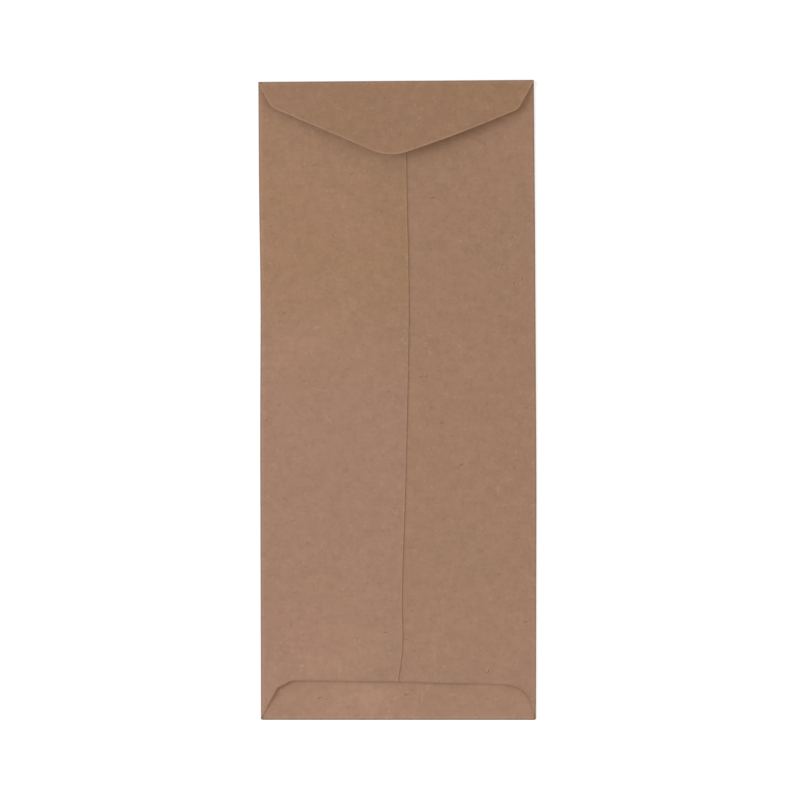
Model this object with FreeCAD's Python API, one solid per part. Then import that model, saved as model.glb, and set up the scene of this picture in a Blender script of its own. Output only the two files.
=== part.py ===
import FreeCAD, Part
import math
import os

# A long open-end kraft envelope, folded from one sheet. It lies on its front panel, with its back
# up: two side panels lap down the middle, over a bottom flap that was folded in first, and a
# pointed seal flap stands a little open at the top. X runs across it, Y along it towards the seal
# flap, and Z up. The origin is under the middle of the closed envelope. Sizes are in millimetres.

# The closed envelope and its paper
WIDTH = 104.0
LENGTH = 241.3
PAPER = 0.14
PLY_GAP = 0.10  # air between two plies that lie on each other
SIDE_FOLD_INSIDE = 0.20  # inner radius of the two long folds

# The back
OVERLAP = 12.0  # how far the right panel runs in under the left one
CLIMB_RUN = 14.0  # stretch of the left panel that rises to lie on the right one
THROAT_DROP = 2.0  # from the top fold down to the panels' top edges
BULGE = 1.2  # how far the back stands off where it is fullest
BULGE_START = 26.0  # from the bottom fold up to where the back leaves the front
MOUTH_PHASE = 0.9  # where in its swell the back ends at the throat, 1.0 being closed again

# The seam is the left panel's free edge. Each pair is a share of the back's length from the bottom
# and the edge's distance to the right of the middle there.
SEAM = (
    (0.0, -0.1),
    (0.06, 0.5),
    (0.12, 1.75),
    (0.2, 1.6),
    (0.4, 3.25),
    (0.64, 4.6),
    (0.84, 3.95),
    (1.0, 3.65),
)

# The panels' bottom edges, from the bottom fold and from the two long edges
HEEL_INSET = 6.3  # blunt corner of the left panel
HEEL_RISE = 12.3
HEEL_RADIUS = 1.5
LEFT_INSET = 11.9  # where the heel turns into the bottom edge
LEFT_RISE = 15.2
LEFT_RADIUS = 6.0
SEAM_RISE = 14.65  # where the two panels' bottom edges meet
RIGHT_INSET = 4.1  # round corner of the right panel
RIGHT_RISE = 13.35
RIGHT_RADIUS = 10.0

# The bottom flap, inside
BOTTOM_DEPTH = 24.0
BOTTOM_SIDE_GAP = 0.45  # from the long edges at its fold
BOTTOM_TAPER = 2.5
BOTTOM_RADIUS = 5.0

# The seal flap, from the top fold and from the two long edges
SEAL_DEPTH = 29.5  # to where its two slanting edges would meet
SEAL_TIP_LEFT = 2.4  # how far its tip is to the left of the middle
SEAL_TIP_RADIUS = 17.5
SEAL_LEFT_INSET = 5.0
SEAL_LEFT_DROP = 9.85
SEAL_LEFT_RADIUS = 7.0
SEAL_BOW_INSET = 26.3  # its right slanting edge bends a little, half way
SEAL_BOW_DROP = 19.85
SEAL_BOW_RADIUS = 400.0
SEAL_RIGHT_INSET = 6.0
SEAL_RIGHT_DROP = 11.2
SEAL_RIGHT_RADIUS = 4.5
SEAL_SPRING = 11.0  # degrees that it stands open at its fold
SEAL_CURL_RADIUS = 240.0  # it bends back down towards its tip

# Glue lines, where two plies are one
SEAM_GLUE_INSET = 1.0  # from the seam and from the right panel's hidden edge
FLAP_GLUE_INSET = 1.5  # from the edges of the panels and of the bottom flap

# Worked out from these
SIDE_FOLD = SIDE_FOLD_INSIDE + PAPER
PANEL = 2 * SIDE_FOLD - PAPER  # underside of the side panels at their folds
LAP = PAPER + PLY_GAP  # how far the left panel climbs
SEAL = PANEL + 2 * LAP  # underside of the seal flap at its fold
SEAL_FOLD = (SEAL + PAPER) / 2
BOTTOM_FLAP = PANEL / 2  # underside of the bottom flap, half way up to the panels
BOTTOM_FOLD = (BOTTOM_FLAP + PAPER) / 2
TOP = LENGTH / 2
BOTTOM = -LENGTH / 2
TOP_FOLD_Y = TOP - SEAL_FOLD
BOTTOM_FOLD_Y = BOTTOM + BOTTOM_FOLD
SIDE_FOLD_X = WIDTH / 2 - SIDE_FOLD
THROAT_Y = TOP - THROAT_DROP
SEAM_FURTHEST = max(x for share, x in SEAM)
SEAM_NEAREST = min(x for share, x in SEAM)
HIDDEN_EDGE_X = SEAM_FURTHEST - OVERLAP
CLIMB_START_X = HIDDEN_EDGE_X - CLIMB_RUN
ABOVE_ALL = SEAL + BULGE + SEAL_DEPTH  # higher than any stretch of the sheet

# Spacing of the points that a curved panel is drawn through
GRID_ACROSS = 3.5
GRID_ALONG = 14.0


def at(x, y, z=0.0):
    return FreeCAD.Vector(x, y, z)


def smooth_step(share):
    """Goes from 0 to 1 with level ends, and stays there outside them."""
    share = min(max(share, 0.0), 1.0)
    return (1 - math.cos(math.pi * share)) / 2


def right_height(x, y):
    """The underside of the right panel, flat over the bottom flap and swelling above it."""
    start = BOTTOM + BULGE_START
    along = max(0.0, (y - start) / (THROAT_Y - start))
    swell = math.sin(MOUTH_PHASE * math.pi * along) ** 2
    crown = math.cos(math.pi / 2 * x / SIDE_FOLD_X)
    return PANEL + BULGE * swell * crown


def left_height(x, y):
    """The underside of the left panel, which climbs from its fold to lie on the right one."""
    return right_height(x, y) + LAP * smooth_step((x - CLIMB_START_X) / CLIMB_RUN)


def glue_height(x, y):
    """The middle of the right panel's paper, where the seam's glue line begins."""
    return right_height(x, y) + PAPER / 2


def box(x_low, x_high, y_low, y_high, z_low, z_high):
    corner = at(x_low, y_low, z_low)
    return Part.makeBox(x_high - x_low, y_high - y_low, z_high - z_low, corner)


def ply(x_low, x_high, height, thickness):
    """A stretch of the back whose underside follows a height formula."""
    across = max(4, round((x_high - x_low) / GRID_ACROSS))
    along = max(4, round((THROAT_Y - BOTTOM_FOLD_Y) / GRID_ALONG))
    rows = []
    for i in range(across + 1):
        x = x_low + (x_high - x_low) * i / across
        ys = [BOTTOM_FOLD_Y + (THROAT_Y - BOTTOM_FOLD_Y) * j / along for j in range(along + 1)]
        rows.append([at(x, y, height(x, y)) for y in ys])
    surface = Part.BSplineSurface()
    surface.interpolate(rows)
    return surface.toShape().extrude(at(0, 0, thickness))


def rounded_outline(corners, z=0.0):
    """A flat face with straight edges between corners of (x, y, radius)."""
    places = [at(x, y, z) for x, y, radius in corners]
    ends = []
    edges = []
    for i, (x, y, radius) in enumerate(corners):
        here = places[i]
        back = (places[i - 1] - here).normalize()
        ahead = (places[(i + 1) % len(places)] - here).normalize()
        half = back.getAngle(ahead) / 2
        run = radius / math.tan(half)
        start = here + back * run
        end = here + ahead * run
        if radius > 0:
            middle = here + (back + ahead).normalize() * (radius / math.sin(half) - radius)
            edges.append(Part.Arc(start, middle, end).toShape())
        ends.append((start, end))
    for i, (start, end) in enumerate(ends):
        edges.append(Part.LineSegment(end, ends[(i + 1) % len(ends)][0]).toShape())
    return Part.Face(Part.Wire(Part.__sortEdges__(edges)))


def paper_end(x_low, x_high, y):
    """The front panel's end, the section that a flap's fold turns."""
    corners = [at(x_low, y, 0), at(x_high, y, 0), at(x_high, y, PAPER), at(x_low, y, PAPER)]
    return Part.Face(Part.makePolygon(corners + corners[:1]))


def front_panel():
    """The flat front, as wide as the envelope above the throat and narrower by the folds below."""
    body = box(-SIDE_FOLD_X, SIDE_FOLD_X, BOTTOM_FOLD_Y, THROAT_Y, 0, PAPER)
    lip = box(-WIDTH / 2, WIDTH / 2, THROAT_Y, TOP_FOLD_Y, 0, PAPER)
    return [body, lip]


def side_fold(side):
    """A long fold: the paper's section, turned half round about the fold's axis."""
    x = side * SIDE_FOLD_X
    corners = [
        at(x, BOTTOM_FOLD_Y, 0),
        at(x, THROAT_Y, 0),
        at(x, THROAT_Y, PAPER),
        at(x, BOTTOM_FOLD_Y, PAPER),
    ]
    section = Part.Face(Part.makePolygon(corners + corners[:1]))
    return section.revolve(at(x, 0, SIDE_FOLD), at(0, -side, 0), 180)


def panel_foot():
    """What the panels' bottom edges leave open, with its blunt and its round corner."""
    outline = rounded_outline(
        [
            (-WIDTH / 2, BOTTOM_FOLD_Y, 0),
            (-WIDTH / 2 + HEEL_INSET, BOTTOM + HEEL_RISE, HEEL_RADIUS),
            (-WIDTH / 2 + LEFT_INSET, BOTTOM + LEFT_RISE, LEFT_RADIUS),
            (0, BOTTOM + SEAM_RISE, 0),
            (WIDTH / 2 - RIGHT_INSET, BOTTOM + RIGHT_RISE, RIGHT_RADIUS),
            (WIDTH / 2, BOTTOM_FOLD_Y, 0),
            (WIDTH / 2, BOTTOM, 0),
            (-WIDTH / 2, BOTTOM, 0),
        ]
    )
    return outline.extrude(at(0, 0, ABOVE_ALL))


def seam_waste():
    """What the left panel loses to the right of its free edge."""
    span = THROAT_Y - BOTTOM_FOLD_Y
    curve = Part.BSplineCurve()
    curve.interpolate([at(x, BOTTOM_FOLD_Y + share * span) for share, x in SEAM])
    seam = curve.toShape()
    low = seam.Vertexes[0].Point
    high = seam.Vertexes[-1].Point
    corners = [high, at(WIDTH, high.y), at(WIDTH, low.y), low]
    face = Part.Face(Part.Wire([seam] + list(Part.makePolygon(corners).Edges)))
    return face.extrude(at(0, 0, ABOVE_ALL))


def left_panel():
    """The upper side panel, cut along the seam and at its foot."""
    sheet = ply(-SIDE_FOLD_X, SEAM_FURTHEST + OVERLAP / 2, left_height, PAPER)
    return sheet.cut([seam_waste(), panel_foot()])


def right_panel():
    """The lower side panel, with its free edge hidden under the left one."""
    return ply(HIDDEN_EDGE_X, SIDE_FOLD_X, right_height, PAPER).cut(panel_foot())


def seam_glue():
    """The glue line of the seam, from the middle of one ply to the middle of the other."""
    x_low = HIDDEN_EDGE_X + SEAM_GLUE_INSET
    x_high = SEAM_NEAREST - SEAM_GLUE_INSET
    return ply(x_low, x_high, glue_height, LAP).cut(panel_foot())


def bottom_flap():
    """The flap that was folded in first, with its fold."""
    half = WIDTH / 2 - BOTTOM_SIDE_GAP
    outline = rounded_outline(
        [
            (-half, BOTTOM_FOLD_Y, 0),
            (-half + BOTTOM_TAPER, BOTTOM + BOTTOM_DEPTH, BOTTOM_RADIUS),
            (half - BOTTOM_TAPER, BOTTOM + BOTTOM_DEPTH, BOTTOM_RADIUS),
            (half, BOTTOM_FOLD_Y, 0),
        ],
        BOTTOM_FLAP,
    )
    section = paper_end(-half, half, BOTTOM_FOLD_Y)
    fold = section.revolve(at(0, BOTTOM_FOLD_Y, BOTTOM_FOLD), at(-1, 0, 0), 180)
    return [fold, outline.extrude(at(0, 0, PAPER))]


def bottom_glue():
    """The bottom flap's glue lines, one under each panel where that panel is level."""
    y_low = BOTTOM + LEFT_RISE + FLAP_GLUE_INSET
    y_high = BOTTOM + BOTTOM_DEPTH - FLAP_GLUE_INSET
    z_low = BOTTOM_FLAP + PAPER / 2
    z_high = PANEL + PAPER / 2
    flap_half = WIDTH / 2 - BOTTOM_SIDE_GAP - BOTTOM_TAPER - FLAP_GLUE_INSET
    left = box(-flap_half, CLIMB_START_X - FLAP_GLUE_INSET, y_low, y_high, z_low, z_high)
    right = box(HIDDEN_EDGE_X + FLAP_GLUE_INSET, flap_half, y_low, y_high, z_low, z_high)
    return [left, right]


def seal_flap():
    """The pointed seal flap with its fold, sprung open and curling back towards its tip."""
    centre = at(0, TOP_FOLD_Y, SEAL_FOLD)
    across = at(1, 0, 0)
    section = paper_end(-WIDTH / 2, WIDTH / 2, TOP_FOLD_Y)
    turn = 180 - SEAL_SPRING
    fold = section.revolve(centre, across, turn)
    section.rotate(centre, across, turn)
    spring = math.radians(SEAL_SPRING)
    outwards = at(0, math.sin(spring), math.cos(spring))
    curl_centre = centre - outwards * (SEAL_CURL_RADIUS - SEAL_FOLD)
    curl = math.degrees(SEAL_DEPTH / SEAL_CURL_RADIUS)
    sheet = section.revolve(curl_centre, across, curl)
    outline = rounded_outline(
        [
            (-WIDTH / 2, TOP, 0),
            (-WIDTH / 2, TOP_FOLD_Y, 0),
            (-WIDTH / 2 + SEAL_LEFT_INSET, TOP - SEAL_LEFT_DROP, SEAL_LEFT_RADIUS),
            (-SEAL_TIP_LEFT, TOP - SEAL_DEPTH, SEAL_TIP_RADIUS),
            (WIDTH / 2 - SEAL_BOW_INSET, TOP - SEAL_BOW_DROP, SEAL_BOW_RADIUS),
            (WIDTH / 2 - SEAL_RIGHT_INSET, TOP - SEAL_RIGHT_DROP, SEAL_RIGHT_RADIUS),
            (WIDTH / 2, TOP_FOLD_Y, 0),
            (WIDTH / 2, TOP, 0),
        ]
    )
    return [fold, sheet.common(outline.extrude(at(0, 0, ABOVE_ALL)))]


def envelope():
    """All stretches of the sheet, joined into the one piece that it is."""
    pieces = front_panel()
    pieces += bottom_flap() + bottom_glue()
    pieces += [side_fold(-1), side_fold(1)]
    pieces += [right_panel(), left_panel(), seam_glue()]
    pieces += seal_flap()
    return pieces[0].multiFuse(pieces[1:]).removeSplitter()


os.makedirs("parts", exist_ok=True)
envelope().exportStep("parts/envelope.step")
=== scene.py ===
import math

import bmesh
import bpy
from bpy.props import FloatProperty, FloatVectorProperty, IntProperty, PointerProperty
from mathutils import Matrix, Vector, kdtree, noise


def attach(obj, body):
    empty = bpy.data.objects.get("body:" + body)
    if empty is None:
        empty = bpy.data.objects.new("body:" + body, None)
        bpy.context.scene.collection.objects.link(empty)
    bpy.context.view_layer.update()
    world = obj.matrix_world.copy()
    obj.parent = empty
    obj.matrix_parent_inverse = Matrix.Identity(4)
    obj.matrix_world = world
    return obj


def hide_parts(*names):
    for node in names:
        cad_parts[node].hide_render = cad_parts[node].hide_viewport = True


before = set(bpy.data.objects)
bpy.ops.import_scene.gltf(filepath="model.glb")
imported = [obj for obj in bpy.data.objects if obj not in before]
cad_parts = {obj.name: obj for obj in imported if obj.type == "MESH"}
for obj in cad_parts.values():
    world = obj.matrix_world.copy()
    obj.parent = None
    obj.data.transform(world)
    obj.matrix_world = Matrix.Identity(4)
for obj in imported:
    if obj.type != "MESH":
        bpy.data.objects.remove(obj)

bl_info = {
    "name": "Kraft envelope",
    "version": (1, 0, 0),
    "blender": (4, 5, 0),
    "location": "3D View > Sidebar > Envelope",
    "description": "Folds a long open-end kraft envelope from its flat blank",
    "category": "Object",
}

MM = 0.001

# Where the panels' free edges have sprung up at the foot: place across, rise and spread, in millimetres
FOOT_LIFTS = ((-45.5, 0.7, 5.0), (-35.0, 1.3, 8.0), (-14.0, 1.1, 13.0), (18.0, 1.2, 14.0), (43.0, 0.9, 6.0))
FOOT_TOP = 14 * MM  # up to here they are off in full, from the bottom fold
FOOT_FADE = 5 * MM  # run in which that fades above it
FOOT_HINGE = 4 * MM  # run in which it begins beside the long folds
# Where the seal flap stands higher or lies lower: place across, distance from its fold, rise and spread
SEAL_LIFTS = ((-2.4, 29.0, 0.3, 10.0), (46.0, 11.0, -0.5, 6.0), (-47.0, 10.0, -0.2, 5.0))
SEAL_LIFT_RUN = 6 * MM  # run from its fold in which that begins
SEAL_WAVE = 0.1 * MM  # height of its slow waves
SEAL_WAVE_RUN = 12 * MM
SEAL_WAVE_SIZE = (21 * MM, 17 * MM)
SEAL_WAVE_SEED = 1.3
# Soft creases in the left panel, in millimetres: start, end, spread and rise
LEFT_CREASES = (((-50, 8), (-16, 31), 5.0, 0.16), ((-44, -2), (-18, 6), 7.0, -0.12))
CREASE_RUN = 8 * MM  # run beside the long folds in which they fade
BUCKLE = 0.1 * MM  # height of the panels' slow waves
SLOW_WAVE = (26 * MM, 38 * MM, 3.7)  # their size across and along, and seed
QUICK_WAVE = (9 * MM, 13 * MM, 10.7)
QUICK_SHARE = 0.18
BUCKLE_RUN = 9 * MM  # run beside the long folds in which they fade
BUCKLE_START = 20 * MM  # run above the foot in which they grow
BUCKLE_AT_FOOT = 0.25  # their share at the foot
# Where the long folds are off their even bow: the middle's y, spread below and above it, and reach
LEFT_DENT = (38 * MM, 35 * MM, 27 * MM, 0.38 * MM)
RIGHT_SWELL = (-30 * MM, 30 * MM, 30 * MM, 0.11 * MM)

# How the blank is meshed
ARC_CHORD = math.radians(6)  # turn of one chord of a rounded corner
SEAM_CHORDS = 5  # between two of the seam's places
CUT_REACH = 1.6  # how many cells from a cut the faces are sliced
ON_CUT = 1e-6  # as near to a cut as this, a point is on it
SAME_PLACE = 2e-6  # stretches meet where their points are as near as this
CUT_CRUMBS = 2e-5  # slivers this small beside a cut are merged away
EDGE_SAMPLES = 0.25 * MM  # spacing of the places from which the distance to a cut is taken
FAR = 5 * MM  # distances from cuts and folds are kept up to this

# Single places on the flat blank, in millimetres: centre, turn, half sizes (and gain). The lighter patches
# are painted light where more light falls, on the left panel and the bottom strip; the shives are dark and
# pale bits in the pulp.
PAINTED_LIGHT_PATCHES = (
    ((0, -128), 0.0, (110, 26), 1.02),
    ((-78, 55), 0.0, (60, 90), 1.03),
    ((-17, -128.5), 0.0, (26, 13), 1.075),
    ((-71, 22), 0.55, (34, 12), 1.035),
    ((-78, -88), 0.2, (24, 22), 1.03),
    ((-78, -99.5), 0.0, (27, 10), 1.06),
    ((-93, -93), 0.2, (13, 14), 1.045),
    ((-9, -129), 0.0, (9, 11), 1.06),
)
DARK_SHIVES = (
    ((70.1, -102.4), -2.08, (1.1, 0.22)),
    ((71.0, -102.7), -1.28, (0.7, 0.18)),
    ((-99.2, -87.6), -0.38, (0.9, 0.2)),
    ((66.2, -65.4), 0.4, (0.4, 0.22)),
    ((58.6, -78.3), 1.1, (0.45, 0.2)),
    ((93.7, 9.0), 0.9, (0.8, 0.2)),
    ((93.2, 9.4), 2.4, (0.5, 0.18)),
    ((-100.7, 3.3), 0.3, (0.4, 0.22)),
    ((-98.3, 71.6), 0.6, (0.4, 0.2)),
)
PALE_SHIVES = (((93.4, 21.4), 0.0, (0.35, 0.3)), ((70.6, -102.2), -1.28, (0.6, 0.15)))

# Where something changes on the flat blank: across it (0) or along it (1), from and to in metres, and
# its value at each
FADES = {
    "left": (1, (-0.01, 0.055), (0.9, 0.05)),  # the left panel's share of the bottom tone
    "right": (1, (-0.11, -0.05), (0.8, 0.5)),  # the right panel's share of it
    "panels": (1, (0.117, 0.122), (1.0, 0.0)),  # all but the seal flap
    "side": (0, (-0.01, 0.01), (0.0, 1.0)),  # the right half of the blank
    "seam_edge_highlight": (0, (-0.1037, -0.1031), (0.14, 0.0)),  # painted highlight along the seam's cut edge
    "seal_edge_highlight_and_shade": (1, (0.119, 0.122), (-0.06, 0.17)),  # painted highlight along the seal flap's cut edge, painted shade along the cut edges below it
}
# How much lighter or darker a pattern makes the paper: the pattern, between which two values, the gain
# at each, and whether the ends are eased
GAINS = (
    ("mottle", (0.3, 0.7), (0.945, 1.055), "LINEAR"),
    ("grain", (0.2, 0.8), (0.983, 1.017), "LINEAR"),
    ("across", (0.25, 0.75), (0.985, 1.015), "LINEAR"),
    ("along", (0.25, 0.75), (0.985, 1.015), "LINEAR"),
    ("blotch", (0.62, 0.72), (1.0, 0.965), "SMOOTHSTEP"),
    ("blotch", (0.38, 0.28), (1.0, 1.035), "SMOOTHSTEP"),
    ("rim", (-1.0, 1.0), (0.0, 2.0), "LINEAR"),  # adds the painted edge highlight and shade to 1
    # Painted highlight 0.8 to 1.9 mm from the folds, painted shade within 0.95 mm of them.
    ("crease", (0.8, 1.9), (1.05, 1.0), "SMOOTHSTEP"),
    ("crease", (0.5, 0.95), (0.87, 1.0), "SMOOTHSTEP"),
    # Painted light: the panels are drawn a little lighter than the seal flap.
    ("panels", (0.0, 1.0), (0.995, 1.018), "SMOOTHSTEP"),
)
# What a pattern mixes into the paper's tone: as above with the share at each value, and the colour
TINTS = (
    ("clouds", (0.52, 0.72), (0.0, 0.1), "SMOOTHSTEP", "pink"),
    ("clouds", (0.48, 0.28), (0.0, 0.1), "SMOOTHSTEP", "olive"),
    # Painted highlight: a pinker band beside the folds. Painted shade: a greyer line at their outer edge.
    ("crease", (0.8, 2.4), (0.3, 0.0), "SMOOTHSTEP", "pink"),
    ("crease", (0.5, 0.95), (0.6, 0.0), "SMOOTHSTEP", "fold_edge_shade"),
    ("pale", (0.0, 1.0), (0.0, 0.2), "LINEAR", "fibre"),
    ("dark", (0.0, 1.0), (0.0, 0.2), "LINEAR", "fleck"),
    ("shive", (0.0, 1.0), (0.0, 1.0), "LINEAR", "fleck"),
)
SOFT = {"interpolation_type": "SMOOTHSTEP"}


def linear(hex_code):
    """An sRGB hex colour as linear red, green and blue."""
    channels = [int(hex_code[i : i + 2], 16) / 255 for i in (0, 2, 4)]
    return tuple(c / 12.92 if c <= 0.04045 else ((c + 0.055) / 1.055) ** 2.4 for c in channels)


def length(name, default, description):
    """A length in metres, shown in the scene's units."""
    return FloatProperty(
        name=name, description=description, default=default, unit="LENGTH", subtype="DISTANCE"
    )


def corner(name, default, description):
    """A corner of a cut: inset from the long edge, distance from the fold, radius."""
    return FloatVectorProperty(
        name=name, description=description, default=default, size=3, unit="LENGTH", subtype="TRANSLATION"
    )


def colour(name, hex_code, description):
    """A colour, given as sRGB and kept as linear."""
    return FloatVectorProperty(
        name=name, description=description, default=linear(hex_code), size=3, min=0, max=1, subtype="COLOR"
    )


class EnvelopeSizes(bpy.types.PropertyGroup):
    """The sheet and its folds."""

    width: length("Width", 0.104, "Across the closed envelope")
    long: length("Length", 0.2413, "From the bottom fold to the top fold")
    paper: length("Paper", 0.00014, "Thickness of the sheet")
    ply_gap: length("Ply gap", 0.0001, "Air between two plies that lie on each other")
    side_inside: length("Side folds", 0.0002, "Inner radius of the two long folds")
    overlap: length("Overlap", 0.012, "How far the right panel runs in under the left one")
    climb: length("Climb", 0.014, "Stretch of the left panel that rises onto the right one")
    throat: length("Throat", 0.002, "From the top fold down to the panels' top edges")
    left_bow: length("Left bow", 0.0001, "How far the left fold bows to the right at mid length")
    right_bow: length("Right bow", 0.00038, "How far the right fold bows to the right at mid length")
    bulge: length("Bulge", 0.0012, "How far the back stands off where it is fullest")
    bulge_start: length("Bulge start", 0.026, "From the bottom fold up to where the back leaves the front")
    mouth_phase: FloatProperty(
        name="Mouth", description="Where in its swell the back ends, 1 being closed again", default=0.9
    )
    spring: FloatProperty(
        name="Flap spring",
        description="Angle that the seal flap stands open",
        default=math.radians(11.5),
        subtype="ANGLE",
    )
    curl: length("Flap curl", 0.42, "Radius to which the seal flap bends back down")
    cell: length("Cell", 0.00145, "Size of the sheet's faces")
    bend_rows: IntProperty(name="Bend rows", description="Faces round each fold", default=8, min=4)


class EnvelopeCuts(bpy.types.PropertyGroup):
    """The blank's outline. The seam edge's places are to the right of the middle, from the bottom up."""

    seal_tip: corner("Seal tip", (0.0496, 0.0295, 0.0175), "The seal flap's tip, from the left edge")
    seal_left: corner("Seal left", (0.005, 0.00985, 0.007), "The seal flap's left shoulder")
    seal_bow: corner("Seal bow", (0.0263, 0.01985, 0.4), "Where its right slanting edge bends a little")
    seal_right: corner("Seal right", (0.006, 0.0112, 0.0045), "The seal flap's right shoulder")
    heel: corner("Heel", (0.0063, 0.0123, 0.0015), "Blunt corner of the left panel")
    heel_end: corner("Heel end", (0.0119, 0.0152, 0.006), "Where the heel turns into the bottom edge")
    seam_foot: length("Seam foot", 0.01465, "Height at which the two panels' bottom edges meet")
    right_foot: corner("Right foot", (0.0041, 0.01335, 0.010), "Round corner of the right panel")
    bottom: corner("Bottom flap", (0.00295, 0.024, 0.005), "Corners of the bottom flap")
    bottom_gap: length("Bottom gap", 0.00045, "From the long edges to the bottom flap's ends")
    seam_shares: FloatVectorProperty(
        name="Seam heights",
        description="Shares of the back's length",
        default=(0.0, 0.06, 0.12, 0.2, 0.4, 0.64, 0.84, 1.0),
        size=8,
    )
    seam_places: FloatVectorProperty(
        name="Seam places",
        description="Where the seam edge is at each height",
        default=(-0.0014, 0.0, 0.00175, 0.0016, 0.00325, 0.0046, 0.00395, 0.00365),
        size=8,
        unit="LENGTH",
    )


class KraftLook(bpy.types.PropertyGroup):
    """Colours and grain of the recycled kraft paper."""

    top_tone: colour("Top tone", "A07C60", "Yellowish pulp tone towards the seal flap")
    bottom_tone: colour("Bottom tone", "A4806B", "Pinker pulp tone towards the bottom flap")
    pink: colour("Pink patches", "AC8373", "Reddish clouds in the pulp")
    olive: colour("Olive patches", "998063", "Greenish clouds in the pulp")
    # Painted shade: the greyer, darker line along the folds' outer edge.
    fold_edge_shade: colour("Worn fold", "94826F", "Greyer line along the folds, where the fibres are rubbed")
    fibre: colour("Pale fibres", "C4A98E", "Light fibres on the surface")
    fleck: colour("Dark flecks", "5E4333", "Bark and shive in the pulp")
    raw_edge: colour("Cut edge", "B89A83", "Raw pulp where the sheet is cut")
    mottle: length("Mottle", 0.0032, "Size of the soft blobs")
    cloud: length("Clouds", 0.026, "Size of the tinted patches")
    grain: length("Grain", 0.00045, "Size of the finest grain")
    streak_across: length("Streaks across", 0.0011, "Width of the soft streaks that run across")
    streak_along: length("Streaks along", 0.0013, "Width of the soft streaks that run along")
    blotch: length("Blotches", 0.0015, "Size of the darker and paler blotches")
    # The real grain is that of fibres 0.03 mm wide. That is too fine for the render, so the grain and
    # the streaks are drawn as coarse as they need to be to show.


class StudioLook(bpy.types.PropertyGroup):
    """Floor, light and camera."""

    floor_tone: colour("Floor", "F4F4F4", "Pale floor")
    floor_glow: FloatProperty(name="Floor glow", description="What the camera sees more of it", default=0.4)
    floor_size: length("Floor size", 3.0, "Side of the floor")
    floor_gap: length("Floor gap", 0.00003, "How far the floor is under the sheet")
    sky: FloatProperty(name="Sky", description="Even light from all round", default=0.497)
    sky_tone: colour("Sky tone", "FFF3DE", "Slightly warm light of the room")
    left_power: FloatProperty(name="Left light", description="Watts of the light on the left", default=20.0)
    right_power: FloatProperty(name="Right light", description="Watts of the light on the right", default=7.6)
    side_size: length("Side lights", 0.9, "Side of the soft lights on the left and right")
    left_place: FloatVectorProperty(
        name="Left place", description="Where the left one stands", default=(-1.4, 0.12, 0.7), unit="LENGTH"
    )
    right_place: FloatVectorProperty(
        name="Right place", description="Where the right one stands", default=(1.4, -0.15, 0.7), unit="LENGTH"
    )
    side_tone: colour("Side tone", "DCEAFF", "Cool daylight of the soft lights")
    fill_power: FloatProperty(name="Fill", description="Watts of the light over the lower end", default=0.85)
    fill_size: length("Fill size", 0.5, "Side of the light over the lower end")
    fill_place: FloatVectorProperty(
        name="Fill place", description="Where it hangs", default=(-0.08, -0.42, 0.6), unit="LENGTH"
    )
    camera_place: FloatVectorProperty(
        name="Camera place",
        description="Where the camera hangs",
        default=(0.023493, 0.00455, 0.8391),
        unit="LENGTH",
        precision=6,
    )
    camera_turn: FloatVectorProperty(
        name="Camera turn",
        description="How far the camera is off straight down",
        default=tuple(math.radians(a) for a in (-0.297, 1.526, -0.2125)),
        subtype="EULER",
    )
    lens: FloatProperty(name="Lens", description="Focal length in millimetres", default=100.0)


def smooth_step(share):
    """Goes from 0 to 1 with level ends, and stays there outside them."""
    share = min(max(share, 0.0), 1.0)
    return (1 - math.cos(math.pi * share)) / 2


def bell(distance, spread):
    """1 at no distance, fading with it."""
    return math.exp(-((distance / spread) ** 2))


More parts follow.
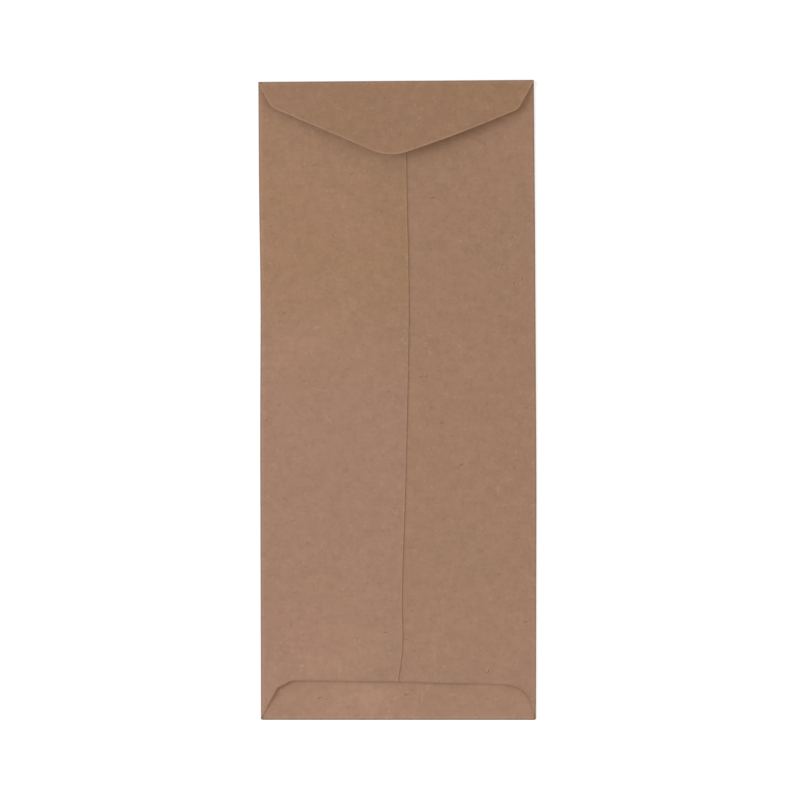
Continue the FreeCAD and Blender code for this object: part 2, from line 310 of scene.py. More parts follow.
class Folding:
    """Where every point of the flat blank goes, along the middle of the paper."""

    def __init__(self, sizes, cuts):
        s = sizes
        self.s = s
        self.half = s.width / 2
        self.side_bend = s.side_inside + s.paper / 2  # the bends are radii to the middle of the paper
        self.side_turn = math.pi * self.side_bend  # length of paper in a long fold
        self.side_x = self.half - s.side_inside - s.paper  # where a long fold begins
        self.flat_x = 2 * self.side_x + self.side_turn  # a panel's place x lies at this minus x when flat
        self.front_z = s.paper / 2
        self.panel_z = self.front_z + 2 * self.side_bend
        self.lap = s.paper + s.ply_gap  # how far the left panel climbs
        self.seal_bend = (self.panel_z - self.front_z + 2 * self.lap) / 2
        self.bottom_bend = (self.panel_z - self.front_z) / 4 + s.paper / 4
        self.top = s.long / 2
        self.bottom = -s.long / 2
        self.top_fold = self.top - self.seal_bend - s.paper / 2
        self.bottom_fold = self.bottom + self.bottom_bend + s.paper / 2
        self.throat = self.top - s.throat
        self.seam_far = max(cuts.seam_places)
        self.hidden_edge = self.seam_far - s.overlap
        self.climb_start = self.hidden_edge - s.climb
        self.bottom_half = self.half - cuts.bottom_gap
        # On the blank, where the bottom flap leaves its fold, and its far edge
        self.bottom_flat = self.bottom_fold - math.pi * self.bottom_bend
        self.bottom_end = self.bottom_flat - cuts.bottom[1] + (self.bottom_fold - self.bottom)
        self.columns = round(2 * self.bottom_half / s.cell)
        self.rows = round((self.throat - self.bottom_fold) / s.cell)
        # Stretches across the front panel and its flaps, with their columns of faces
        self.bands = (
            (-self.half, -self.side_x, 1),
            (-self.side_x, -self.bottom_half, 1),
            (-self.bottom_half, self.bottom_half, self.columns),
            (self.bottom_half, self.side_x, 1),
            (self.side_x, self.half, 1),
        )

    def lift(self, x, y):
        """The panels stand off the bottom flap a little where their free edges have sprung up."""
        total = sum(rise * bell(x - place * MM, spread * MM) for place, rise, spread in FOOT_LIFTS) * MM
        fade = math.exp(-max(0.0, y - self.bottom - FOOT_TOP) / FOOT_FADE)
        return total * fade * self.clear_of_fold(x, FOOT_HINGE)

    def clear_of_fold(self, x, run):
        """0 at the long folds, rising to 1 over a run from them."""
        return min(1.0, (self.side_x - abs(x)) / run)

    def buckle(self, x, y):
        """Slow waves of a sheet that has taken up some damp, none at the folds."""
        slow, quick = (noise.noise(Vector((x / a, y / b, seed))) for a, b, seed in (SLOW_WAVE, QUICK_WAVE))
        start = smooth_step((y - self.bottom - FOOT_TOP) / BUCKLE_START)
        strength = BUCKLE_AT_FOOT + (1 - BUCKLE_AT_FOOT) * start
        return BUCKLE * (slow + QUICK_SHARE * quick) * self.clear_of_fold(x, BUCKLE_RUN) * strength

    def right_z(self, x, y):
        """Middle of the right panel, flat over the bottom flap and swelling above it."""
        start = self.bottom + self.s.bulge_start
        along = max(0.0, (y - start) / (self.throat - start))
        swell = math.sin(self.s.mouth_phase * math.pi * along) ** 2
        crown = math.cos(math.pi / 2 * min(1.0, abs(x) / self.side_x))
        return self.panel_z + self.s.bulge * swell * crown + self.lift(x, y)

    def left_z(self, x, y):
        """Middle of the left panel, which climbs to lie on the right one."""
        climb = self.lap * smooth_step((x - self.climb_start) / self.s.climb)
        return self.right_z(x, y) + climb + sum(self.ridge(x, y, *crease) for crease in LEFT_CREASES)

    def ridge(self, x, y, start, end, spread, rise):
        """A soft crease between two places, in millimetres."""
        a = Vector(start) * MM
        along = Vector(end) * MM - a
        share = (Vector((x, y)) - a).dot(along) / along.length_squared
        nearest = a + along * min(max(share, 0.0), 1.0)
        away = (Vector((x, y)) - nearest).length
        return rise * MM * bell(away, spread * MM) * self.clear_of_fold(x, CREASE_RUN)

    def bowed(self, point):
        """The folds were creased a little out of straight, so the body bows to the right."""
        along = 1 - min(1.0, abs(point.y) / self.top) ** 2
        across = min(max(point.x / self.half, -1.0), 1.0) / 2 + 0.5
        bow = self.s.left_bow * (1 - across) + self.s.right_bow * across
        push = bow * along
        for (middle, below, above, reach), share in ((LEFT_DENT, 1 - across), (RIGHT_SWELL, across)):
            away = point.y - middle
            push += reach * bell(away, above if away > 0 else below) * share
        return Vector((point.x + push, point.y, point.z))

    def side(self, point, hand):
        """A point of a side panel or its fold. hand is -1 on the left and 1 on the right."""
        run = hand * point.x - self.side_x
        bend = math.pi * self.side_bend
        if run <= bend:
            angle = run / self.side_bend
            x = hand * (self.side_x + self.side_bend * math.sin(angle))
            z = self.front_z + self.side_bend * (1 - math.cos(angle))
            return self.bowed(Vector((x, point.y, z)))
        x = hand * (self.side_x - (run - bend))
        height = self.left_z if hand < 0 else self.right_z
        return self.bowed(Vector((x, point.y, height(x, point.y) + self.buckle(x, point.y))))

    def seal(self, point):
        """A point of the seal flap or its fold."""
        run = point.y - self.top_fold
        centre_z = self.front_z + self.seal_bend
        turn = math.pi - self.s.spring
        angle = min(run / self.seal_bend, turn)
        y = self.top_fold + self.seal_bend * math.sin(angle)
        z = centre_z - self.seal_bend * math.cos(angle)
        past = run - self.seal_bend * turn
        if past > 0:
            slope = self.s.spring - past / self.s.curl
            y -= self.s.curl * (math.sin(self.s.spring) - math.sin(slope))
            z += self.s.curl * (math.cos(slope) - math.cos(self.s.spring))
            across, along = SEAL_WAVE_SIZE
            wave = noise.noise(Vector((point.x / across, past / along, SEAL_WAVE_SEED)))
            z += SEAL_WAVE * wave * smooth_step(past / SEAL_WAVE_RUN)
            for place, depth, rise, spread in SEAL_LIFTS:
                away = Vector((point.x - place * MM, past - depth * MM)).length
                z += rise * MM * bell(away, spread * MM) * smooth_step(past / SEAL_LIFT_RUN)
        return self.bowed(Vector((point.x, y, z)))

    def seal_run(self, depth):
        """How far along the flat blank a place is that shows depth below the top edge."""
        turn = math.pi - self.s.spring
        start = self.top_fold + self.seal_bend * math.sin(turn)
        gone = start - (self.top - depth)
        slope = math.asin(math.sin(self.s.spring) - gone / self.s.curl)
        return self.top_fold + self.seal_bend * turn + self.s.curl * (self.s.spring - slope)

    def bottom_flap(self, point):
        """A point of the bottom flap or its fold."""
        run = self.bottom_fold - point.y
        bend = math.pi * self.bottom_bend
        if run <= bend:
            angle = run / self.bottom_bend
            y = self.bottom_fold - self.bottom_bend * math.sin(angle)
            return self.bowed(Vector((point.x, y, self.front_z + self.bottom_bend * (1 - math.cos(angle)))))
        z = self.front_z + 2 * self.bottom_bend
        return self.bowed(Vector((point.x, self.bottom_fold + run - bend, z)))


def rounded(corners):
    """A line through corners of (x, y, radius), with short chords for their arcs."""
    points = [Vector(corners[0][:2])]
    for before, here, after in zip(corners, corners[1:], corners[2:]):
        place = Vector(here[:2])
        if here[2] == 0:
            points.append(place)
            continue
        back = (Vector(before[:2]) - place).normalized()
        ahead = (Vector(after[:2]) - place).normalized()
        half = back.angle(ahead) / 2
        run = here[2] / math.tan(half)
        centre = place + (back + ahead).normalized() * (here[2] / math.sin(half))
        start = place + back * run - centre
        turn = (place + ahead * run - centre).angle_signed(start)
        count = max(3, round(abs(turn) / ARC_CHORD))
        for i in range(count + 1):
            angle = turn * i / count
            cos, sin = math.cos(angle), math.sin(angle)
            points.append(centre + Vector((start.x * cos - start.y * sin, start.x * sin + start.y * cos)))
    points.append(Vector(corners[-1][:2]))
    return points


def seam_line(folding, cuts):
    """The left panel's free edge as a smooth line, in the closed envelope's places."""
    span = folding.throat - folding.bottom_fold
    knots = [Vector((x, folding.bottom_fold + t * span)) for t, x in zip(cuts.seam_shares, cuts.seam_places)]
    knots = [knot * 2 - folding.bowed(knot.to_3d()).to_2d() for knot in knots]
    ends = [knots[0] * 2 - knots[1]] + knots + [knots[-1] * 2 - knots[-2]]
    points = []
    for a, b, c, d in zip(ends, ends[1:], ends[2:], ends[3:]):
        for i in range(SEAM_CHORDS):
            t = i / SEAM_CHORDS
            square = (a * 2 - b * 5 + c * 4 - d) * t**2
            cube = (b * 3 - a - c * 3 + d) * t**3
            points.append((b * 2 + (c - a) * t + square + cube) / 2)
    return points + [knots[-1]]


def only(item):
    """Selects one object and makes it active."""
    bpy.ops.object.select_all(action="DESELECT")
    item.select_set(True)
    bpy.context.view_layer.objects.active = item


def add_grid(x_low, x_high, y_low, y_high, columns, rows):
    """A flat stretch of the blank."""
    bpy.ops.mesh.primitive_grid_add(x_subdivisions=columns, y_subdivisions=rows, size=1)
    item = bpy.context.object
    item.location = ((x_low + x_high) / 2, (y_low + y_high) / 2, 0)
    item.scale = (x_high - x_low, y_high - y_low, 1)
    only(item)
    bpy.ops.object.transform_apply(location=True, rotation=False, scale=True)
    return item


def join(items, name):
    """Joins stretches of the blank and merges the places that they share."""
    only(items[0])
    for item in items:
        item.select_set(True)
    bpy.ops.object.join()
    item = bpy.context.object
    item.name = name
    bpy.ops.object.mode_set(mode="EDIT")
    bpy.ops.mesh.select_all(action="SELECT")
    bpy.ops.mesh.remove_doubles(threshold=SAME_PLACE)
    bpy.ops.object.mode_set(mode="OBJECT")
    return item


def select_faces(item, wanted):
    """Selects the faces whose centre passes the test, in edit mode."""
    work = bmesh.from_edit_mesh(item.data)
    for face in work.faces:
        face.select_set(False)
    found = 0
    for face in work.faces:
        if wanted(face.calc_center_median()):
            face.select_set(True)
            found += 1
    work.select_flush(True)
    bmesh.update_edit_mesh(item.data)
    return found


def cut_along(item, line, reach):
    """Slices the faces near each stretch of a line, along it."""
    only(item)
    bpy.ops.object.mode_set(mode="EDIT")
    bpy.ops.mesh.select_mode(type="FACE")
    for a, b in zip(line, line[1:]):
        low = Vector((min(a.x, b.x) - reach, min(a.y, b.y) - reach))
        high = Vector((max(a.x, b.x) + reach, max(a.y, b.y) + reach))
        found = select_faces(item, lambda c: low.x < c.x < high.x and low.y < c.y < high.y)
        if not found:
            continue
        along = (b - a).normalized()
        bpy.ops.mesh.bisect(plane_co=(a.x, a.y, 0), plane_no=(along.y, -along.x, 0), threshold=ON_CUT)
    bpy.ops.object.mode_set(mode="OBJECT")


def inside(outline, place):
    """Whether a place is inside a closed outline."""
    hit = False
    for a, b in zip(outline, outline[1:] + outline[:1]):
        if (a.y > place.y) != (b.y > place.y):
            if place.x < a.x + (b.x - a.x) * (place.y - a.y) / (b.y - a.y):
                hit = not hit
    return hit


def drop_faces(item, wanted):
    """Deletes the faces whose centre passes the test."""
    only(item)
    bpy.ops.object.mode_set(mode="EDIT")
    bpy.ops.mesh.select_mode(type="FACE")
    if not select_faces(item, wanted):
        raise RuntimeError(f"nothing to trim from {item.name}")
    bpy.ops.mesh.delete(type="FACE")
    bpy.ops.mesh.select_all(action="SELECT")
    bpy.ops.mesh.remove_doubles(threshold=CUT_CRUMBS)
    bpy.ops.object.mode_set(mode="OBJECT")


def keep_blank_map(item):
    """Writes the flat places, in metres, as the stretch's only UV map."""
    while item.data.uv_layers:
        item.data.uv_layers.remove(item.data.uv_layers[0])
    layer = item.data.uv_layers.new(name="blank")
    for loop in item.data.loops:
        place = item.data.vertices[loop.vertex_index].co
        layer.data[loop.index].uv = (place.x, place.y)


def fold(item, rule):
    """Moves every point of a stretch to its folded place."""
    keep_blank_map(item)
    for point in item.data.vertices:
        point.co = rule(point.co)
    item.data.update()
    return item


def node(tree, kind, inputs=(), **settings):
    """Adds a node, sets its settings, and sets its inputs or links them to a node or one of its outputs."""
    made = tree.nodes.new(kind)
    for key, value in settings.items():
        setattr(made, key, value)
    for key, value in dict(inputs).items():
        if isinstance(value, bpy.types.Node):
            value = value.outputs[0]
        if isinstance(value, bpy.types.NodeSocket):
            tree.links.new(value, made.inputs[key])
        else:
            made.inputs[key].default_value = value
    return made


def between(value, ends, results=(0.0, 1.0)):
    """A map range's inputs: a value, the two ends that it is read between, and what they give."""
    return dict(enumerate((value, *ends, *results)))


def rgba(rgb):
    """A colour with the alpha that a node's input has."""
    return (*rgb, 1.0)


def empty_material(name):
    """A new material without nodes, and its tree."""
    material = bpy.data.materials.new(name)
    material.use_nodes = True
    material.node_tree.nodes.clear()
    return material, material.node_tree


def blobs(tree, place, size, detail, offset, stretch=(1, 1, 1)):
    """Soft noise with blobs of a size in metres."""
    shift = (offset, offset * 0.7, offset * 0.3)
    moved = node(tree, "ShaderNodeMapping", {"Vector": place, "Location": shift, "Scale": stretch})
    made = node(
        tree,
        "ShaderNodeTexNoise",
        {"Vector": moved, "Scale": 1 / size, "Detail": detail, "Roughness": 0.55},
    )
    return made.outputs["Fac"]


def bent_place(tree, place):
    """The flat place, pushed about by up to 0.8 mm, so that what is drawn on it curls."""
    wander = node(tree, "ShaderNodeTexNoise", {"Vector": place, "Scale": 1 / (2.5 * MM), "Detail": 1.0})
    push = {0: wander.outputs["Color"], 1: (0.5, 0.5, 0.5)}
    centred = node(tree, "ShaderNodeVectorMath", push, operation="SUBTRACT")
    drift = node(tree, "ShaderNodeVectorMath", {0: centred, "Scale": 1.6 * MM}, operation="SCALE")
    return node(tree, "ShaderNodeVectorMath", {0: place, 1: drift}, operation="ADD")


def flecks(tree, bent, cell, wide, turn, share, offset):
    """Short curved flecks, in some of the cells. wide is the fleck's half size as a part of its cell."""
    turned = node(
        tree, "ShaderNodeMapping", {"Vector": bent, "Rotation": (0, 0, turn), "Location": (offset, 0, 0)}
    )
    scaled = node(tree, "ShaderNodeMapping", {"Vector": turned, "Scale": (1 / cell[0], 1 / cell[1], 1)})
    cells = node(
        tree,
        "ShaderNodeTexVoronoi",
        {"Vector": scaled, "Scale": 1.0, "Randomness": 1.0},
        voronoi_dimensions="2D",
    )
    away = cells.outputs["Distance"]
    body = node(tree, "ShaderNodeMapRange", between(away, (wide * 0.45, wide), (1.0, 0.0)), **SOFT)
    picked = node(tree, "ShaderNodeSeparateColor", {0: cells.outputs["Color"]})
    chosen = node(tree, "ShaderNodeMapRange", between(picked, (1 - share, 1 - share * 0.6)), **SOFT)
    return node(tree, "ShaderNodeMath", {0: body, 1: chosen}, operation="MULTIPLY")


def spot(tree, place, centre, turn, size, fade=0.5):
    """One soft oval on the flat blank, in millimetres."""
    back = (-centre[0] * MM, -centre[1] * MM, 0)
    moved = node(tree, "ShaderNodeVectorMath", {0: place, 1: back}, operation="ADD")
    turned = node(tree, "ShaderNodeMapping", {"Vector": moved, "Rotation": (0, 0, turn)})
    squeeze = (1 / (size[0] * MM), 1 / (size[1] * MM), 0)
    oval = node(tree, "ShaderNodeVectorMath", {0: turned, 1: squeeze}, operation="MULTIPLY")
    far = node(tree, "ShaderNodeVectorMath", {0: oval}, operation="LENGTH").outputs["Value"]
    return node(tree, "ShaderNodeMapRange", between(far, (fade, 1.0), (1.0, 0.0)), **SOFT)


def curls(tree, place, size, run, keep, offset):
    """Short curled fibres: stretches of a noise's level line, kept where a second noise is high.

    Real ones are 0.03 mm wide and up to 3 mm long. They are drawn several times as wide, to show.
    """
    field = blobs(tree, place, size, 0.0, offset)
    level = node(tree, "ShaderNodeMath", {0: field, 1: 0.5}, operation="SUBTRACT")
    off = node(tree, "ShaderNodeMath", {0: level}, operation="ABSOLUTE")
    line = node(tree, "ShaderNodeMapRange", between(off, (0.010, 0.034), (1.0, 0.0)), **SOFT)
    chance = blobs(tree, place, run, 0.0, offset + 3.3)
    kept = node(tree, "ShaderNodeMapRange", between(chance, (keep, keep + 0.06)), **SOFT)
    return node(tree, "ShaderNodeMath", {0: line, 1: kept}, operation="MULTIPLY")


def strongest(tree, marks):
    """The largest of several marks at each place. Each is given with its strength."""
    most = 0.0
    for mark, strength in marks:
        part = node(tree, "ShaderNodeMath", {0: mark, 1: strength}, operation="MULTIPLY")
        most = node(tree, "ShaderNodeMath", {0: most, 1: part}, operation="MAXIMUM")
    return most


def kraft_face(look):
    """Recycled kraft with a machine finish: matte and a little uneven, with soft mottle, pink and olive
    clouds, pale fibres and dark shive. Along the folds and the cut edges it has painted highlight and
    painted shade, painted light makes the left panel and the bottom strip lighter, and the panels are
    painted a little lighter than the seal flap."""
    material, tree = empty_material("recycled_kraft")
    place = node(tree, "ShaderNodeUVMap", uv_map="blank").outputs[0]
    bent = bent_place(tree, place)
    parts = node(tree, "ShaderNodeSeparateXYZ", {0: place})
    pattern = {
        "mottle": blobs(tree, place, look.mottle, 2.0, 1.7),
        "grain": blobs(tree, place, look.grain, 1.0, 2.9),
        "across": blobs(tree, place, look.streak_across, 1.0, 4.1, (0.12, 1, 1)),
        "along": blobs(tree, place, look.streak_along, 1.0, 5.3, (1, 0.12, 1)),
        "blotch": blobs(tree, place, look.blotch, 0.0, 6.2),
        "clouds": blobs(tree, place, look.cloud, 0.0, 0.31),
        "crease": node(tree, "ShaderNodeAttribute", attribute_name="crease_mm").outputs["Fac"],
        "dark": curls(tree, place, 3.0 * MM, 1.5 * MM, 0.62, 11.3),
    }
    for name, (axis, ends, results) in FADES.items():
        pattern[name] = node(tree, "ShaderNodeMapRange", between(parts.outputs[axis], ends, results), **SOFT)
    pattern["pale"] = strongest(
        tree,
        [
            (curls(tree, place, 3.3 * MM, 1.6 * MM, 0.615, 7.1), 1.0),
            (curls(tree, place, 2.2 * MM, 1.3 * MM, 0.65, 8.6), 1.0),
        ],
    )
    hairs = [
        (flecks(tree, bent, (6.5 * MM, 5.5 * MM), 0.05, 0.9, 0.07, 0.11), 0.4),
        (flecks(tree, bent, (31 * MM, 9 * MM), 0.04, 0.4, 0.1, 0.41), 0.4),
        (flecks(tree, bent, (27 * MM, 8 * MM), 0.04, 1.9, 0.1, 0.87), 0.4),
    ]
    pattern["shive"] = strongest(tree, hairs + [(spot(tree, bent, *mark), 0.7) for mark in DARK_SHIVES])

    # Painted highlight and painted shade in a ragged band up to 0.5 mm in from the cut edges.
    edge = node(tree, "ShaderNodeAttribute", attribute_name="cut_edge_mm").outputs["Fac"]
    jag = node(tree, "ShaderNodeMath", {0: pattern["grain"], 1: -0.5}, operation="MULTIPLY")
    ragged = node(tree, "ShaderNodeMath", {0: edge, 1: jag}, operation="ADD")
    near_edge = node(tree, "ShaderNodeMapRange", between(ragged, (0.0, 0.5), (1.0, 0.0)), **SOFT)
    rims = node(tree, "ShaderNodeMath", {0: pattern["seam_edge_highlight"], 1: pattern["seal_edge_highlight_and_shade"]}, operation="ADD")
    pattern["rim"] = node(tree, "ShaderNodeMath", {0: rims, 1: near_edge}, operation="MULTIPLY")

    right = node(tree, "ShaderNodeMath", {0: pattern["right"], 1: pattern["panels"]}, operation="MULTIPLY")
    drift = node(tree, "ShaderNodeMix", {0: pattern["side"], 2: pattern["left"], 3: right})
    layers = [(drift, look.bottom_tone)]
    for name, ends, shares, curve, tint in TINTS:
        given = between(pattern[name], ends, shares)
        share = node(tree, "ShaderNodeMapRange", given, interpolation_type=curve)
        layers.append((share, getattr(look, tint)))
    layers += [(spot(tree, bent, *mark), look.raw_edge) for mark in PALE_SHIVES]
    tone = rgba(look.top_tone)
    for share, tint in layers:
        tone = node(tree, "ShaderNodeMix", {0: share, 6: tone, 7: rgba(tint)}, data_type="RGBA").outputs[2]

    steps = [(pattern[name], ends, gains, curve) for name, ends, gains, curve in GAINS]
    # Painted light: these patches make the left panel and the bottom strip lighter.
    for centre, turn, size, gain in PAINTED_LIGHT_PATCHES:
        steps.append((spot(tree, place, centre, turn, size, 0.0), (0.0, 1.0), (1.0, gain), "SMOOTHSTEP"))
    shade = 1.0
    for value, ends, gains, curve in steps:
        gain = node(tree, "ShaderNodeMapRange", between(value, ends, gains), interpolation_type=curve)
        shade = node(tree, "ShaderNodeMath", {0: shade, 1: gain}, operation="MULTIPLY")
    shaded = node(tree, "ShaderNodeVectorMath", {0: tone, "Scale": shade}, operation="SCALE")

    height = pattern["mottle"]
    for name, weight in (("grain", 0.35), ("pale", 1.2), ("dark", -1.0)):
        part = {0: pattern[name], 1: weight, 2: height}
        height = node(tree, "ShaderNodeMath", part, operation="MULTIPLY_ADD")
    bump = node(tree, "ShaderNodeBump", {"Height": height, "Strength": 1.0, "Distance": 0.03 * MM})
    surface = node(
        tree,
        "ShaderNodeBsdfPrincipled",
        {
            "Base Color": shaded,
            "Roughness": node(tree, "ShaderNodeMapRange", between(pattern["mottle"], (0.2, 0.8), (0.8, 0.9))),
            "Metallic": 0.0,
            "IOR": 1.45,
            "Specular IOR Level": 0.25,
            "Sheen Weight": 0.03,
            "Sheen Roughness": 0.6,
            "Normal": bump,
        },
    )
    node(tree, "ShaderNodeOutputMaterial", {"Surface": surface})
    return material


def kraft_edge(look):
    """The cut edge: raw pulp, paler and rougher than the calendered faces."""
    material, tree = empty_material("kraft_cut_edge")
    place = node(tree, "ShaderNodeTexCoord").outputs["Object"]
    grain = blobs(tree, place, look.grain, 2.0, 0.9)
    share = node(tree, "ShaderNodeMapRange", between(grain, (0.3, 0.7), (0.0, 0.5)), **SOFT)
    pulp = {0: share, 6: rgba(look.raw_edge), 7: rgba(look.fibre)}
    tone = node(tree, "ShaderNodeMix", pulp, data_type="RGBA").outputs[2]
    surface = node(
        tree,
        "ShaderNodeBsdfPrincipled",
        {"Base Color": tone, "Roughness": 0.95, "Metallic": 0.0, "Specular IOR Level": 0.15},
    )
    node(tree, "ShaderNodeOutputMaterial", {"Surface": surface})
    return material


def mark_edges(item, folding):
    """Writes each point's distance from the nearest cut and from the nearest fold, in millimetres."""
    mesh = item.data
    flat = {}
    layer = mesh.uv_layers["blank"].data
    for loop in mesh.loops:
        flat[loop.vertex_index] = layer[loop.index].uv.copy()
    work = bmesh.new()
    work.from_mesh(mesh)
    samples = []
    for edge in work.edges:
        if len(edge.link_faces) != 1:
            continue
        a, b = (flat[v.index] for v in edge.verts)
        count = max(1, round((b - a).length / EDGE_SAMPLES))
        samples += [a.lerp(b, i / count) for i in range(count + 1)]
    work.free()
    tree = kdtree.KDTree(len(samples))
    for i, place in enumerate(samples):
        tree.insert((place.x, place.y, 0), i)
    tree.balance()
    cut = mesh.attributes.new("cut_edge_mm", "FLOAT", "POINT")
    crease = mesh.attributes.new("crease_mm", "FLOAT", "POINT")
    side = folding.side_x + folding.side_turn / 2
    top = folding.top_fold + math.pi * folding.seal_bend / 2
    bottom = folding.bottom_fold - math.pi * folding.bottom_bend / 2
    for index, place in flat.items():
        found = tree.find((place.x, place.y, 0))[2]
        cut.data[index].value = min(found, FAR) / MM
        near = min(abs(abs(place.x) - side), abs(place.y - top), abs(place.y - bottom))
        crease.data[index].value = min(near, FAR) / MM


def trim(item, folding, line, wanted):
    """Cuts a stretch along a line and deletes the faces on the wrong side of it."""
    cut_along(item, line, CUT_REACH * folding.s.cell)
    drop_faces(item, wanted)


def front_sheet(f):
    """The flat front panel, narrower by the long folds below the throat."""
    parts = [add_grid(a, b, f.bottom_fold, f.throat, n, f.rows) for a, b, n in f.bands[1:4]]
    parts += [add_grid(a, b, f.throat, f.top_fold, n, 2) for a, b, n in f.bands]
    return fold(join(parts, "front"), lambda p: f.bowed(Vector((p.x, p.y, f.front_z))))


def seal_sheet(f, cuts):
    """The seal flap with its fold."""
    start = f.top_fold + f.seal_bend * (math.pi - f.s.spring)
    end = f.seal_run(cuts.seal_tip[1]) + f.s.cell
    rows = round((end - start) / f.s.cell)
    parts = [add_grid(a, b, f.top_fold, start, n, f.s.bend_rows) for a, b, n in f.bands]
    parts += [add_grid(a, b, start, end, n, rows) for a, b, n in f.bands]
    seal = join(parts, "seal")
    line = rounded(
        [
            (-f.half, start, 0),
            (-f.half + cuts.seal_left[0], f.seal_run(cuts.seal_left[1]), cuts.seal_left[2]),
            (-f.half + cuts.seal_tip[0], f.seal_run(cuts.seal_tip[1]), cuts.seal_tip[2]),
            (f.half - cuts.seal_bow[0], f.seal_run(cuts.seal_bow[1]), cuts.seal_bow[2]),
            (f.half - cuts.seal_right[0], f.seal_run(cuts.seal_right[1]), cuts.seal_right[2]),
            (f.half, start, 0),
        ]
    )
    trim(seal, f, line, lambda c: c.y > start and not inside(line, c))
    return fold(seal, f.seal)


def bottom_sheet(f, cuts):
    """The bottom flap with its fold."""
    ends = (-f.bottom_half, f.bottom_half)
    rows = round((f.bottom_flat - f.bottom_end) / f.s.cell)
    parts = [
        add_grid(*ends, f.bottom_flat, f.bottom_fold, f.columns, f.s.bend_rows),
        add_grid(*ends, f.bottom_end, f.bottom_flat, f.columns, rows),
    ]
    bottom = join(parts, "bottom")
    line = rounded(
        [
            (-f.bottom_half, f.bottom_flat, 0),
            (-f.half + cuts.bottom[0], f.bottom_end, cuts.bottom[2]),
            (f.half - cuts.bottom[0], f.bottom_end, cuts.bottom[2]),
            (f.bottom_half, f.bottom_flat, 0),
        ]
    )
    trim(bottom, f, line, lambda c: c.y < f.bottom_flat and not inside(line, c))
    return fold(bottom, f.bottom_flap)


def side_sheet(f, hand, far, name):
    """A side panel with its fold, still flat. far is how far out on the blank it reaches."""
    start = f.side_x + f.side_turn
    columns = round((far - f.side_x - f.side_turn) / f.s.cell)
    parts = []
    for near, end, count in ((f.side_x, start, f.s.bend_rows), (start, far, columns)):
        low, high = sorted((hand * near, hand * end))
        parts.append(add_grid(low, high, f.bottom_fold, f.throat, count, f.rows))
    return join(parts, name)


def trim_foot(item, f, cuts, hand, far):
    """Cuts a side panel's bottom edge, from the middle of its fold."""
    foot = rounded(
        [
            (-f.half, f.bottom_fold, 0),
            (-f.half + cuts.heel[0], f.bottom + cuts.heel[1], cuts.heel[2]),
            (-f.half + cuts.heel_end[0], f.bottom + cuts.heel_end[1], cuts.heel_end[2]),
            (0, f.bottom + cuts.seam_foot, 0),
            (f.half - cuts.right_foot[0], f.bottom + cuts.right_foot[1], cuts.right_foot[2]),
            (f.half, f.bottom_fold, 0),
        ]
    )
    line = [Vector((hand * f.flat_x - p.x, p.y)) for p in foot]
    corner_x = hand * (f.side_x + f.side_turn / 2)
    line[0 if hand < 0 else -1].x = corner_x
    low = f.bottom_fold - f.s.cell
    ends = [Vector((hand * far * 2, low)), Vector((corner_x, low))]
    waste = line + (ends if hand < 0 else ends[::-1])
    trim(item, f, line, lambda c: inside(waste, c))


def left_sheet(f, cuts):
    """The left side panel, whose free edge is the seam."""
    far = f.flat_x + f.seam_far + 2 * f.s.cell
    left = side_sheet(f, -1, far, "left")
    seam = [Vector((-f.flat_x - p.x, p.y)) for p in seam_line(f, cuts)]
    out = -far - f.s.cell
    beyond = seam + [Vector((out, f.throat)), Vector((out, f.bottom_fold))]
    trim(left, f, seam, lambda c: inside(beyond, c))
    trim_foot(left, f, cuts, -1, far)
    return fold(left, lambda p: f.side(p, -1))


def right_sheet(f, cuts):
    """The right side panel, whose free edge is hidden under the left one."""
    far = f.flat_x - f.hidden_edge
    right = side_sheet(f, 1, far, "right")
    trim_foot(right, f, cuts, 1, far)
    return fold(right, lambda p: f.side(p, 1))


class ENVELOPE_OT_sheet(bpy.types.Operator):
    """Folds the kraft sheet from its flat blank"""

    bl_idname = "envelope.sheet"
    bl_label = "Kraft sheet"

    def execute(self, context):
        sizes = context.scene.envelope_sizes
        cuts = context.scene.envelope_cuts
        look = context.scene.kraft_look
        f = Folding(sizes, cuts)
        stretches = [front_sheet(f)]
        for make in (seal_sheet, bottom_sheet, left_sheet, right_sheet):
            stretches.append(make(f, cuts))
        sheet = join(stretches, "kraft_envelope")
        only(sheet)
        bpy.ops.object.mode_set(mode="EDIT")
        bpy.ops.mesh.select_all(action="SELECT")
        bpy.ops.mesh.normals_make_consistent(inside=False)
        bpy.ops.object.mode_set(mode="OBJECT")
        mark_edges(sheet, f)
        sheet.data.materials.clear()
        sheet.data.materials.append(kraft_face(look))
        sheet.data.materials.append(kraft_edge(look))
        body = sheet.modifiers.new("paper", "SOLIDIFY")
        body.thickness = sizes.paper
        body.offset = 0.0
        body.use_rim = True
        body.material_offset_rim = 1
        bpy.ops.object.modifier_apply(modifier="paper")
        bpy.ops.object.shade_smooth_by_angle(angle=math.radians(40))

        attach(sheet, "root")
        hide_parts("envelope")
        return {"FINISHED"}


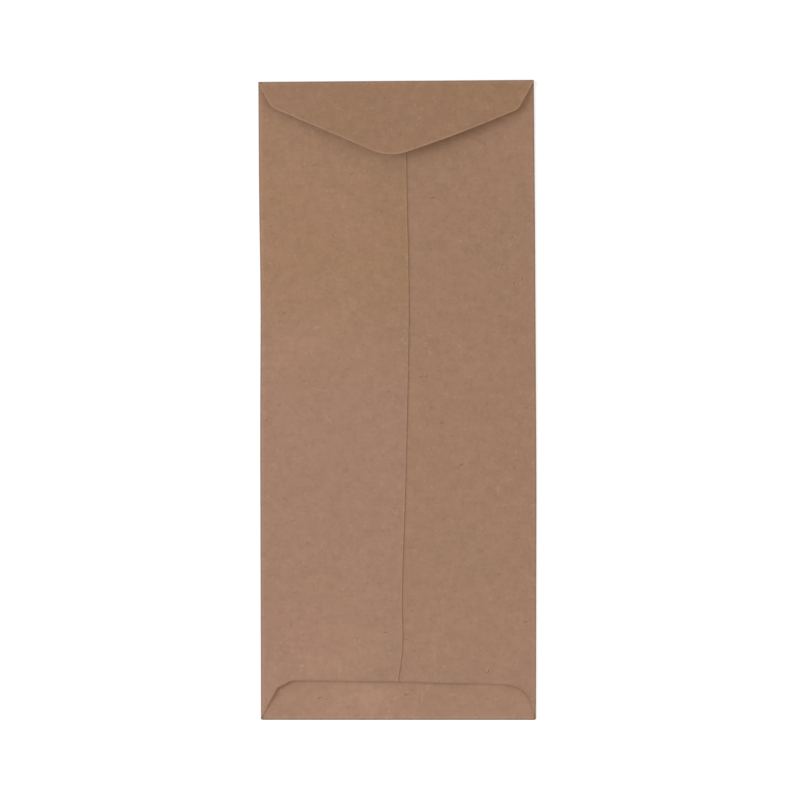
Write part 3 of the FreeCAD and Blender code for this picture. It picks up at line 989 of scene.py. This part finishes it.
class ENVELOPE_OT_stage(bpy.types.Operator):
    """Lays the pale floor and sets up the light and the camera"""

    bl_idname = "envelope.stage"
    bl_label = "Floor, light and camera"

    def execute(self, context):
        studio = context.scene.studio_look
        bpy.ops.mesh.primitive_plane_add(size=studio.floor_size, location=(0, 0, -studio.floor_gap))
        floor = context.object
        floor.name = "floor"
        floor.data.materials.append(self.floor_material(studio))

        world = bpy.data.worlds.new("even_sky")
        context.scene.world = world
        world.use_nodes = True
        world.node_tree.nodes.clear()
        light = {"Color": rgba(studio.sky_tone), "Strength": studio.sky}
        sky = node(world.node_tree, "ShaderNodeBackground", light)
        node(world.node_tree, "ShaderNodeOutputWorld", {"Surface": sky})

        side = studio.side_size
        left = self.soft_light(context, "left_light", studio.left_place, side, studio.left_power)
        right = self.soft_light(context, "right_light", studio.right_place, side, studio.right_power)
        left.color = right.color = studio.side_tone
        self.soft_light(context, "overhead_fill", studio.fill_place, studio.fill_size, studio.fill_power)

        lens = bpy.data.cameras.new("camera")
        lens.lens = studio.lens
        lens.clip_start = 0.01
        camera = bpy.data.objects.new("camera", lens)
        context.collection.objects.link(camera)
        camera.location = studio.camera_place
        camera.rotation_euler = studio.camera_turn
        context.scene.camera = camera
        context.scene.view_settings.view_transform = "Standard"
        return {"FINISHED"}

    def soft_light(self, context, name, place, size, power):
        """A square soft light that points at the middle of the envelope."""
        light = bpy.data.lights.new(name, "AREA")
        light.shape = "SQUARE"
        light.size = size
        light.energy = power
        item = bpy.data.objects.new(name, light)
        context.collection.objects.link(item)
        item.location = place
        item.rotation_euler = (-Vector(place)).to_track_quat("-Z", "Y").to_euler()
        return light

    def floor_material(self, studio):
        """A matte pale floor that the camera sees a little brighter, as on a lit white table."""
        material, tree = empty_material("pale_floor")
        path = node(tree, "ShaderNodeLightPath")
        rays = ("Is Camera Ray", "Is Glossy Ray", "Is Transmission Ray")
        glow = strongest(tree, [(path.outputs[ray], studio.floor_glow) for ray in rays])
        lit = node(tree, "ShaderNodeEmission", {"Color": rgba(studio.floor_tone), "Strength": glow})
        matte = node(tree, "ShaderNodeBsdfDiffuse", {"Color": rgba(studio.floor_tone)})
        both = node(tree, "ShaderNodeAddShader", {0: matte, 1: lit})
        node(tree, "ShaderNodeOutputMaterial", {"Surface": both})
        return material


class ENVELOPE_PT_panel(bpy.types.Panel):
    """Lists the piece and the stage"""

    bl_label = "Kraft envelope"
    bl_idname = "ENVELOPE_PT_panel"
    bl_space_type = "VIEW_3D"
    bl_region_type = "UI"
    bl_category = "Envelope"

    def draw(self, context):
        layout = self.layout
        layout.operator(ENVELOPE_OT_sheet.bl_idname)
        layout.operator(ENVELOPE_OT_stage.bl_idname)
        for group in GROUPS:
            box = layout.box()
            settings = getattr(context.scene, group)
            for name in settings.bl_rna.properties.keys():
                if name not in ("rna_type", "name"):
                    box.prop(settings, name)


GROUPS = {
    "envelope_sizes": EnvelopeSizes,
    "envelope_cuts": EnvelopeCuts,
    "kraft_look": KraftLook,
    "studio_look": StudioLook,
}
CLASSES = tuple(GROUPS.values()) + (ENVELOPE_OT_sheet, ENVELOPE_OT_stage, ENVELOPE_PT_panel)


def register():
    for item in CLASSES:
        bpy.utils.register_class(item)
    for name, group in GROUPS.items():
        setattr(bpy.types.Scene, name, PointerProperty(type=group))


def unregister():
    for name in GROUPS:
        delattr(bpy.types.Scene, name)
    for item in reversed(CLASSES):
        bpy.utils.unregister_class(item)


def main():
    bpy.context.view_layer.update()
    register()
    bpy.ops.envelope.sheet()
    bpy.ops.envelope.stage()


if __name__ == "__main__":
    main()
